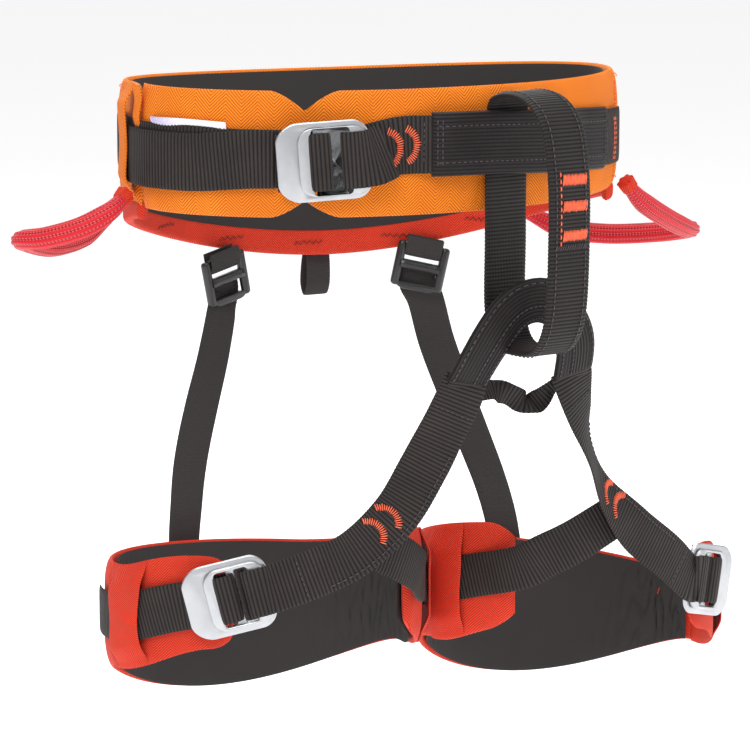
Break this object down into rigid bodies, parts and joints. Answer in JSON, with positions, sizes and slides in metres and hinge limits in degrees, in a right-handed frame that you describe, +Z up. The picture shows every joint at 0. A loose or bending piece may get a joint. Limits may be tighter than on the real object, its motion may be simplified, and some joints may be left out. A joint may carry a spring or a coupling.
{
  "type": "climbing sit harness",
  "caption": "Padded sit harness: waist belt with a double-frame buckle, fixed belay loop, gear loops, elastic risers and two adjustable leg loops.",
  "frame": {"origin": "Middle of the waist opening, at the middle of the waist webbing's height (mount wearer_waist)", "axes": "+Z up, -Y to the front of the harness, +X to the wearer's left"},
  "size_m": [0.5027, 0.3287, 0.4343],
  "materials": {
    "orange_twill": "matte woven",
    "coral_twill": "matte woven",
    "black_webbing": "ribbed, slight sheen",
    "lining": "matte knit",
    "elastic": "matte woven elastic",
    "red_braid": "braided",
    "label_tape": "smooth tape",
    "satin_aluminium": "tumbled satin",
    "black_plastic": "moulded satin"
  },
  "bodies": {
    "waist_belt": {"front_pad_right": "orange_twill", "front_pad_left": "orange_twill", "front_lining_right": "lining", "front_lining_left": "lining", "lumbar_pad": "orange_twill", "lumbar_lining": "lining", "lumbar_lower_band": "coral_twill", "waist_strap": "black_webbing", "waist_strap_tail": "black_webbing", "strap_keeper_tab": "orange_twill", "side_tunnel": "orange_twill", "care_label": "label_tape", "tie_in_webbing": "black_webbing", "tie_in_sleeve": "black_webbing", "waist_buckle_frame": "satin_aluminium", "buckle_anchor_loop": "black_webbing", "riser_strap_right": "elastic", "riser_strap_left": "elastic", "riser_anchor_right": "black_webbing", "riser_anchor_left": "black_webbing", "bridge_sleeve": "black_webbing", "bridge_webbing": "black_webbing", "bridge_cross_strap": "black_webbing"},
    "waist_slider": {"waist_buckle_slider": "satin_aluminium"},
    "belay_loop": {"belay_loop": "black_webbing"},
    "gear_loop_right": {"gear_loop_right": "red_braid"},
    "gear_loop_left": {"gear_loop_left": "red_braid"},
    "haul_loop": {"haul_loop": "black_webbing"},
    "riser_buckle_right": {"riser_buckle_right": "black_plastic"},
    "riser_buckle_left": {"riser_buckle_left": "black_plastic"},
    "leg_loop_right": {"leg_pad_right": "coral_twill", "leg_lining_right": "lining", "leg_keeper_right": "coral_twill", "leg_strap_right": "black_webbing", "leg_under_strap_right": "black_webbing", "leg_buckle_frame_right": "satin_aluminium", "leg_tail_right": "black_webbing"},
    "leg_slider_right": {"leg_buckle_slider_right": "satin_aluminium"},
    "leg_loop_left": {"leg_pad_left": "coral_twill", "leg_lining_left": "lining", "leg_keeper_left": "coral_twill", "leg_strap_left": "black_webbing", "leg_under_strap_left": "black_webbing", "leg_buckle_frame_left": "satin_aluminium", "leg_tail_left": "black_webbing"},
    "leg_slider_left": {"leg_buckle_slider_left": "satin_aluminium"}
  },
  "joints": [
    {"name": "leg_swing_right", "type": "hinge", "parent": "waist_belt", "child": "leg_loop_right", "pos_m": [-0.001, -0.13, -0.149], "axis": [1, 0, 0], "range_deg": [-8, 18], "stiffness_Nm_per_rad": 1, "springref_deg": 2.86, "deforming": ["riser_strap_right"]},
    {"name": "leg_swing_left", "type": "hinge", "parent": "waist_belt", "child": "leg_loop_left", "pos_m": [0.077, -0.13, -0.149], "axis": [1, 0, 0], "range_deg": [-8, 18], "stiffness_Nm_per_rad": 1, "springref_deg": 2.86, "deforming": ["riser_strap_left"]},
    {"name": "belay_loop_swing", "type": "hinge", "parent": "waist_belt", "child": "belay_loop", "pos_m": [0.03076, -0.13255, 0], "axis": [0.9919, 0.127, 0], "range_deg": [-0.5, 2.5]},
    {"name": "waist_slider_tilt", "type": "hinge", "parent": "waist_belt", "child": "waist_slider", "pos_m": [-0.10757, -0.11668, -0.00112], "axis": [0.0641, -0.0274, -0.9976], "range_deg": [0, 35]},
    {"name": "leg_slider_tilt_right", "type": "hinge", "parent": "leg_loop_right", "child": "leg_slider_right", "pos_m": [-0.15112, -0.07569, -0.27821], "axis": [0.2164, -0.1081, -0.9703], "range_deg": [0, 35]},
    {"name": "leg_slider_tilt_left", "type": "hinge", "parent": "leg_loop_left", "child": "leg_slider_left", "pos_m": [0.22712, -0.07569, -0.30447], "axis": [0.2164, 0.1081, 0.9703], "range_deg": [0, 35]},
    {"name": "riser_buckle_tilt_right", "type": "hinge", "parent": "waist_belt", "child": "riser_buckle_right", "pos_m": [-0.05269, 0.10609, -0.09072], "axis": [0.952, 0.2246, 0.2079], "range_deg": [-15, 15]},
    {"name": "riser_buckle_tilt_left", "type": "hinge", "parent": "waist_belt", "child": "riser_buckle_left", "pos_m": [0.09249, 0.09128, -0.09072], "axis": [0.8784, -0.4303, -0.2079], "range_deg": [-15, 15]},
    {"name": "gear_loop_swing_right", "type": "hinge", "parent": "waist_belt", "child": "gear_loop_right", "pos_m": [-0.178, -0.017, -0.026], "axis": [0.2951, 0.9149, -0.2755], "range_deg": [-20, 30], "stiffness_Nm_per_rad": 0.15},
    {"name": "gear_loop_swing_left", "type": "hinge", "parent": "waist_belt", "child": "gear_loop_left", "pos_m": [0.161, -0.054, -0.028], "axis": [-0.0389, 0.9495, -0.3113], "range_deg": [-30, 12], "stiffness_Nm_per_rad": 0.15},
    {"name": "haul_loop_swing", "type": "hinge", "parent": "waist_belt", "child": "haul_loop", "pos_m": [0.028, 0.127, -0.093], "axis": [1, 0, 0], "range_deg": [-5, 60]}
  ]
}
